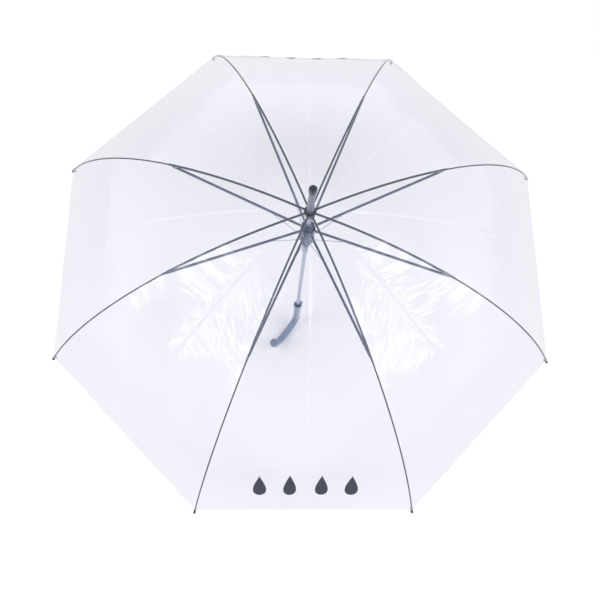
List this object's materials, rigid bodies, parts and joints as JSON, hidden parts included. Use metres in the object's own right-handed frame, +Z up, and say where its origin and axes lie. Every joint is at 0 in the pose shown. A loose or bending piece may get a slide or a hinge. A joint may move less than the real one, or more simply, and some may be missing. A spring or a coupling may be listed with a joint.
{
  "type": "clear stick umbrella",
  "caption": "Open clear film umbrella with curved steel ribs, spring-driven runner, push-button release and a hooked handle.",
  "frame": {"origin": "centre of the straight grip, on the shaft's axis", "axes": "+Z up the shaft to the ferrule; a rib lies half a pitch either side of +X"},
  "size_m": [0.9538, 0.9538, 0.8049],
  "materials": {
    "clear_film": "clear glossy film",
    "rib_steel": "dark grey satin",
    "stretcher_steel": "satin blue-grey",
    "shaft_steel": "polished",
    "wire_steel": "drawn wire",
    "dark_plastic": "moulded, fine texture",
    "runner_plastic": "moulded satin",
    "pale_plastic": "moulded, semi-clear",
    "ferrule_plastic": "clear moulded",
    "tip_plastic": "moulded"
  },
  "bodies": {
    "root": {"canopy": "clear_film", "shaft": "shaft_steel", "top_notch": "dark_plastic", "notch_wire": "wire_steel", "shaft_rivets": "wire_steel", "canopy_washer": "dark_plastic", "ferrule": "ferrule_plastic", "ferrule_tip": "dark_plastic", "handle_grip": "pale_plastic", "handle_collar": "dark_plastic", "handle_end_cap": "pale_plastic"},
    "runner": {"runner": "runner_plastic", "runner_sleeve": "pale_plastic", "runner_wire": "wire_steel", "opening_spring": "wire_steel"},
    "ring": {"spring_ring": "runner_plastic", "ring_wire": "wire_steel"},
    "button": {"release_button": "pale_plastic", "button_spring": "wire_steel", "latch": "wire_steel"},
    "rib_1": {"rib_1": "rib_steel"},
    "rib_end_1": {"rib_end_1": "rib_steel", "tip_1": "tip_plastic"},
    "stretcher_1": {"stretcher_1": "stretcher_steel"},
    "link_1": {"link_1": "wire_steel"},
    "rib_2": {"rib_2": "rib_steel"},
    "rib_end_2": {"rib_end_2": "rib_steel", "tip_2": "tip_plastic"},
    "stretcher_2": {"stretcher_2": "stretcher_steel"},
    "link_2": {"link_2": "wire_steel"},
    "rib_3": {"rib_3": "rib_steel"},
    "rib_end_3": {"rib_end_3": "rib_steel", "tip_3": "tip_plastic"},
    "stretcher_3": {"stretcher_3": "stretcher_steel"},
    "link_3": {"link_3": "wire_steel"},
    "rib_4": {"rib_4": "rib_steel"},
    "rib_end_4": {"rib_end_4": "rib_steel", "tip_4": "tip_plastic"},
    "stretcher_4": {"stretcher_4": "stretcher_steel"},
    "link_4": {"link_4": "wire_steel"},
    "rib_5": {"rib_5": "rib_steel"},
    "rib_end_5": {"rib_end_5": "rib_steel", "tip_5": "tip_plastic"},
    "stretcher_5": {"stretcher_5": "stretcher_steel"},
    "link_5": {"link_5": "wire_steel"},
    "rib_6": {"rib_6": "rib_steel"},
    "rib_end_6": {"rib_end_6": "rib_steel", "tip_6": "tip_plastic"},
    "stretcher_6": {"stretcher_6": "stretcher_steel"},
    "link_6": {"link_6": "wire_steel"},
    "rib_7": {"rib_7": "rib_steel"},
    "rib_end_7": {"rib_end_7": "rib_steel", "tip_7": "tip_plastic"},
    "stretcher_7": {"stretcher_7": "stretcher_steel"},
    "link_7": {"link_7": "wire_steel"},
    "rib_8": {"rib_8": "rib_steel"},
    "rib_end_8": {"rib_end_8": "rib_steel", "tip_8": "tip_plastic"},
    "stretcher_8": {"stretcher_8": "stretcher_steel"},
    "link_8": {"link_8": "wire_steel"}
  },
  "joints": [
    {"name": "runner_slide", "type": "slide", "parent": "root", "child": "runner", "axis": [0, 0, -1], "range_m": [0, 0.41411], "stiffness_N_per_m": 40, "springref_m": -0.2, "deforming": ["canopy", "opening_spring"]},
    {"name": "ring_slide", "type": "slide", "parent": "runner", "child": "ring", "axis": [0, 0, 1], "range_m": [0, 0.02476]},
    {"name": "button_press", "type": "slide", "parent": "root", "child": "button", "axis": [-0.6157, -0.788, 0], "range_m": [0, 0.0015], "stiffness_N_per_m": 300},
    {"name": "rib_fold_1", "type": "hinge", "parent": "root", "child": "rib_1", "pos_m": [0.00785, 0.00325, 0.608], "axis": [-0.3827, 0.9239, 0], "range_deg": [0, 75.59]},
    {"name": "rib_flex_1", "type": "hinge", "parent": "rib_1", "child": "rib_end_1", "pos_m": [0.24006, 0.09944, 0.57268], "axis": [0.3827, -0.9239, 0], "range_deg": [0, 24.6]},
    {"name": "stretcher_fold_1", "type": "hinge", "parent": "rib_1", "child": "stretcher_1", "pos_m": [0.23199, 0.09609, 0.57211], "axis": [0.3827, -0.9239, 0], "range_deg": [0, 151.7]},
    {"name": "link_fold_1", "type": "hinge", "parent": "stretcher_1", "child": "link_1", "pos_m": [0.06865, 0.02844, 0.54596], "axis": [-0.3827, 0.9239, 0], "range_deg": [0, 29.35]},
    {"name": "rib_fold_2", "type": "hinge", "parent": "root", "child": "rib_2", "pos_m": [0.00325, 0.00785, 0.608], "axis": [-0.9239, 0.3827, 0], "range_deg": [0, 75.59]},
    {"name": "rib_flex_2", "type": "hinge", "parent": "rib_2", "child": "rib_end_2", "pos_m": [0.09944, 0.24006, 0.57268], "axis": [0.9239, -0.3827, 0], "range_deg": [0, 24.6]},
    {"name": "stretcher_fold_2", "type": "hinge", "parent": "rib_2", "child": "stretcher_2", "pos_m": [0.09609, 0.23199, 0.57211], "axis": [0.9239, -0.3827, 0], "range_deg": [0, 151.7]},
    {"name": "link_fold_2", "type": "hinge", "parent": "stretcher_2", "child": "link_2", "pos_m": [0.02844, 0.06865, 0.54596], "axis": [-0.9239, 0.3827, 0], "range_deg": [0, 29.35]},
    {"name": "rib_fold_3", "type": "hinge", "parent": "root", "child": "rib_3", "pos_m": [-0.00325, 0.00785, 0.608], "axis": [-0.9239, -0.3827, 0], "range_deg": [0, 75.59]},
    {"name": "rib_flex_3", "type": "hinge", "parent": "rib_3", "child": "rib_end_3", "pos_m": [-0.09944, 0.24006, 0.57268], "axis": [0.9239, 0.3827, 0], "range_deg": [0, 24.6]},
    {"name": "stretcher_fold_3", "type": "hinge", "parent": "rib_3", "child": "stretcher_3", "pos_m": [-0.09609, 0.23199, 0.57211], "axis": [0.9239, 0.3827, 0], "range_deg": [0, 151.7]},
    {"name": "link_fold_3", "type": "hinge", "parent": "stretcher_3", "child": "link_3", "pos_m": [-0.02844, 0.06865, 0.54596], "axis": [-0.9239, -0.3827, 0], "range_deg": [0, 29.35]},
    {"name": "rib_fold_4", "type": "hinge", "parent": "root", "child": "rib_4", "pos_m": [-0.00785, 0.00325, 0.608], "axis": [-0.3827, -0.9239, 0], "range_deg": [0, 75.59]},
    {"name": "rib_flex_4", "type": "hinge", "parent": "rib_4", "child": "rib_end_4", "pos_m": [-0.24006, 0.09944, 0.57268], "axis": [0.3827, 0.9239, 0], "range_deg": [0, 24.6]},
    {"name": "stretcher_fold_4", "type": "hinge", "parent": "rib_4", "child": "stretcher_4", "pos_m": [-0.23199, 0.09609, 0.57211], "axis": [0.3827, 0.9239, 0], "range_deg": [0, 151.7]},
    {"name": "link_fold_4", "type": "hinge", "parent": "stretcher_4", "child": "link_4", "pos_m": [-0.06865, 0.02844, 0.54596], "axis": [-0.3827, -0.9239, 0], "range_deg": [0, 29.35]},
    {"name": "rib_fold_5", "type": "hinge", "parent": "root", "child": "rib_5", "pos_m": [-0.00785, -0.00325, 0.608], "axis": [0.3827, -0.9239, 0], "range_deg": [0, 75.59]},
    {"name": "rib_flex_5", "type": "hinge", "parent": "rib_5", "child": "rib_end_5", "pos_m": [-0.24006, -0.09944, 0.57268], "axis": [-0.3827, 0.9239, 0], "range_deg": [0, 24.6]},
    {"name": "stretcher_fold_5", "type": "hinge", "parent": "rib_5", "child": "stretcher_5", "pos_m": [-0.23199, -0.09609, 0.57211], "axis": [-0.3827, 0.9239, 0], "range_deg": [0, 151.7]},
    {"name": "link_fold_5", "type": "hinge", "parent": "stretcher_5", "child": "link_5", "pos_m": [-0.06865, -0.02844, 0.54596], "axis": [0.3827, -0.9239, 0], "range_deg": [0, 29.35]},
    {"name": "rib_fold_6", "type": "hinge", "parent": "root", "child": "rib_6", "pos_m": [-0.00325, -0.00785, 0.608], "axis": [0.9239, -0.3827, 0], "range_deg": [0, 75.59]},
    {"name": "rib_flex_6", "type": "hinge", "parent": "rib_6", "child": "rib_end_6", "pos_m": [-0.09944, -0.24006, 0.57268], "axis": [-0.9239, 0.3827, 0], "range_deg": [0, 24.6]},
    {"name": "stretcher_fold_6", "type": "hinge", "parent": "rib_6", "child": "stretcher_6", "pos_m": [-0.09609, -0.23199, 0.57211], "axis": [-0.9239, 0.3827, 0], "range_deg": [0, 151.7]},
    {"name": "link_fold_6", "type": "hinge", "parent": "stretcher_6", "child": "link_6", "pos_m": [-0.02844, -0.06865, 0.54596], "axis": [0.9239, -0.3827, 0], "range_deg": [0, 29.35]},
    {"name": "rib_fold_7", "type": "hinge", "parent": "root", "child": "rib_7", "pos_m": [0.00325, -0.00785, 0.608], "axis": [0.9239, 0.3827, 0], "range_deg": [0, 75.59]},
    {"name": "rib_flex_7", "type": "hinge", "parent": "rib_7", "child": "rib_end_7", "pos_m": [0.09944, -0.24006, 0.57268], "axis": [-0.9239, -0.3827, 0], "range_deg": [0, 24.6]},
    {"name": "stretcher_fold_7", "type": "hinge", "parent": "rib_7", "child": "stretcher_7", "pos_m": [0.09609, -0.23199, 0.57211], "axis": [-0.9239, -0.3827, 0], "range_deg": [0, 151.7]},
    {"name": "link_fold_7", "type": "hinge", "parent": "stretcher_7", "child": "link_7", "pos_m": [0.02844, -0.06865, 0.54596], "axis": [0.9239, 0.3827, 0], "range_deg": [0, 29.35]},
    {"name": "rib_fold_8", "type": "hinge", "parent": "root", "child": "rib_8", "pos_m": [0.00785, -0.00325, 0.608], "axis": [0.3827, 0.9239, 0], "range_deg": [0, 75.59]},
    {"name": "rib_flex_8", "type": "hinge", "parent": "rib_8", "child": "rib_end_8", "pos_m": [0.24006, -0.09944, 0.57268], "axis": [-0.3827, -0.9239, 0], "range_deg": [0, 24.6]},
    {"name": "stretcher_fold_8", "type": "hinge", "parent": "rib_8", "child": "stretcher_8", "pos_m": [0.23199, -0.09609, 0.57211], "axis": [-0.3827, -0.9239, 0], "range_deg": [0, 151.7]},
    {"name": "link_fold_8", "type": "hinge", "parent": "stretcher_8", "child": "link_8", "pos_m": [0.06865, -0.02844, 0.54596], "axis": [0.3827, 0.9239, 0], "range_deg": [0, 29.35]}
  ],
  "couplings": [
    {"joint": "ring_slide", "follows": "runner_slide", "ratio": 0.059796},
    {"joint": "rib_fold_1", "follows": "runner_slide", "rad_per_m": 3.1856},
    {"joint": "rib_flex_1", "follows": "runner_slide", "rad_per_m": 1.0368},
    {"joint": "stretcher_fold_1", "follows": "runner_slide", "rad_per_m": 6.3936},
    {"joint": "link_fold_1", "follows": "runner_slide", "rad_per_m": 1.237},
    {"joint": "rib_fold_2", "follows": "runner_slide", "rad_per_m": 3.1856},
    {"joint": "rib_flex_2", "follows": "runner_slide", "rad_per_m": 1.0368},
    {"joint": "stretcher_fold_2", "follows": "runner_slide", "rad_per_m": 6.3936},
    {"joint": "link_fold_2", "follows": "runner_slide", "rad_per_m": 1.237},
    {"joint": "rib_fold_3", "follows": "runner_slide", "rad_per_m": 3.1856},
    {"joint": "rib_flex_3", "follows": "runner_slide", "rad_per_m": 1.0368},
    {"joint": "stretcher_fold_3", "follows": "runner_slide", "rad_per_m": 6.3936},
    {"joint": "link_fold_3", "follows": "runner_slide", "rad_per_m": 1.237},
    {"joint": "rib_fold_4", "follows": "runner_slide", "rad_per_m": 3.1856},
    {"joint": "rib_flex_4", "follows": "runner_slide", "rad_per_m": 1.0368},
    {"joint": "stretcher_fold_4", "follows": "runner_slide", "rad_per_m": 6.3936},
    {"joint": "link_fold_4", "follows": "runner_slide", "rad_per_m": 1.237},
    {"joint": "rib_fold_5", "follows": "runner_slide", "rad_per_m": 3.1856},
    {"joint": "rib_flex_5", "follows": "runner_slide", "rad_per_m": 1.0368},
    {"joint": "stretcher_fold_5", "follows": "runner_slide", "rad_per_m": 6.3936},
    {"joint": "link_fold_5", "follows": "runner_slide", "rad_per_m": 1.237},
    {"joint": "rib_fold_6", "follows": "runner_slide", "rad_per_m": 3.1856},
    {"joint": "rib_flex_6", "follows": "runner_slide", "rad_per_m": 1.0368},
    {"joint": "stretcher_fold_6", "follows": "runner_slide", "rad_per_m": 6.3936},
    {"joint": "link_fold_6", "follows": "runner_slide", "rad_per_m": 1.237},
    {"joint": "rib_fold_7", "follows": "runner_slide", "rad_per_m": 3.1856},
    {"joint": "rib_flex_7", "follows": "runner_slide", "rad_per_m": 1.0368},
    {"joint": "stretcher_fold_7", "follows": "runner_slide", "rad_per_m": 6.3936},
    {"joint": "link_fold_7", "follows": "runner_slide", "rad_per_m": 1.237},
    {"joint": "rib_fold_8", "follows": "runner_slide", "rad_per_m": 3.1856},
    {"joint": "rib_flex_8", "follows": "runner_slide", "rad_per_m": 1.0368},
    {"joint": "stretcher_fold_8", "follows": "runner_slide", "rad_per_m": 6.3936},
    {"joint": "link_fold_8", "follows": "runner_slide", "rad_per_m": 1.237}
  ]
}
